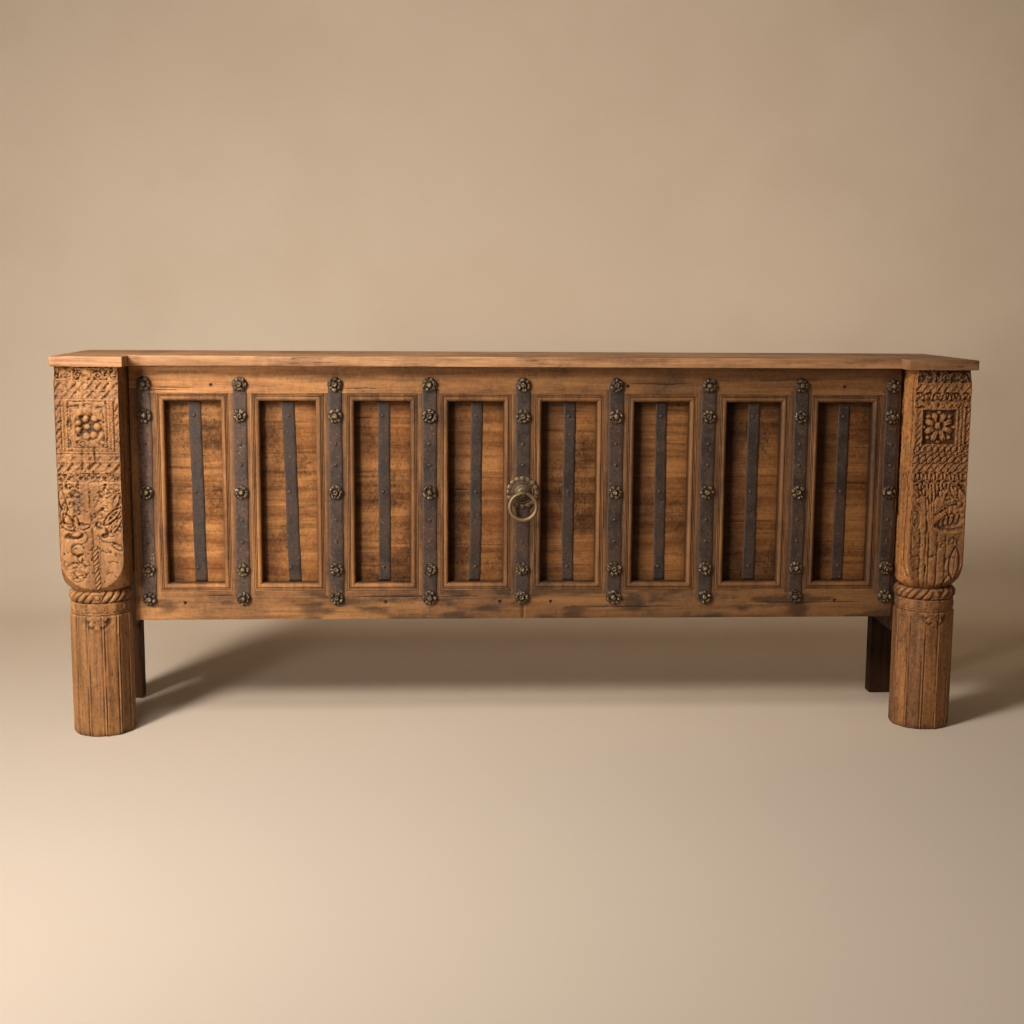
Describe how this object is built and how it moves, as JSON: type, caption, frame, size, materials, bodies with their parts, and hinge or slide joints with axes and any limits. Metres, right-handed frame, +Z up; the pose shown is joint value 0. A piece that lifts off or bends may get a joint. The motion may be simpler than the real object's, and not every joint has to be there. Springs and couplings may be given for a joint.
{
  "type": "console table with an old door as its front",
  "caption": "Long wooden console table: an old iron-strapped, brass-studded door leaf is its fixed front between carved capital posts, under a plank top, with a swinging ring pull.",
  "frame": {"origin": "middle of the footprint's bounding box, on the floor", "axes": "+X to the right as seen from the front, -Y towards the front, +Z up"},
  "size_m": [2.15, 0.405, 0.9],
  "materials": {
    "top_wood": "waxed, worn",
    "post_wood": "old, dry, carved",
    "door_wood": "old, worn",
    "panel_wood": "old, stained",
    "back_wood": "dark, plain",
    "iron": "rusted, matte",
    "brass": "aged"
  },
  "bodies": {
    "console": {"top_plank_front": "top_wood", "top_plank_middle": "top_wood", "top_plank_back": "top_wood", "left_carved_post": "post_wood", "right_carved_post": "post_wood", "door_top_rail": "door_wood", "door_bottom_rail": "door_wood", "door_bar_1": "door_wood", "door_bar_2": "door_wood", "door_bar_3": "door_wood", "door_bar_4": "door_wood", "door_bar_5": "door_wood", "door_bar_6": "door_wood", "door_bar_7": "door_wood", "door_bar_8": "door_wood", "door_bar_9": "door_wood", "door_plank_1": "panel_wood", "door_plank_2": "panel_wood", "door_plank_3": "panel_wood", "door_plank_4": "panel_wood", "panel_moulding_1": "door_wood", "panel_moulding_2": "door_wood", "panel_moulding_3": "door_wood", "panel_moulding_4": "door_wood", "panel_moulding_5": "door_wood", "panel_moulding_6": "door_wood", "panel_moulding_7": "door_wood", "panel_moulding_8": "door_wood", "bar_strap_1": "iron", "bar_strap_2": "iron", "bar_strap_3": "iron", "bar_strap_4": "iron", "bar_strap_5": "iron", "bar_strap_6": "iron", "bar_strap_7": "iron", "bar_strap_8": "iron", "bar_strap_9": "iron", "panel_strap_1": "iron", "panel_strap_2": "iron", "panel_strap_3": "iron", "panel_strap_4": "iron", "panel_strap_5": "iron", "panel_strap_6": "iron", "panel_strap_7": "iron", "panel_strap_8": "iron", "rosette_studs": "brass", "strap_nails": "iron", "handle_plate": "brass", "handle_eye": "brass", "rear_leg_left": "back_wood", "rear_leg_right": "back_wood", "side_board_left": "back_wood", "side_board_right": "back_wood", "rear_rail": "back_wood", "top_bearer_left": "back_wood", "top_bearer_right": "back_wood"},
    "ring": {"pull_ring": "brass"}
  },
  "joints": [
    {"name": "ring_swing", "type": "hinge", "parent": "console", "child": "ring", "pos_m": [0.012, -0.1121, 0.5735], "axis": [-1, 0, 0], "range_deg": [-15, 170]}
  ]
}
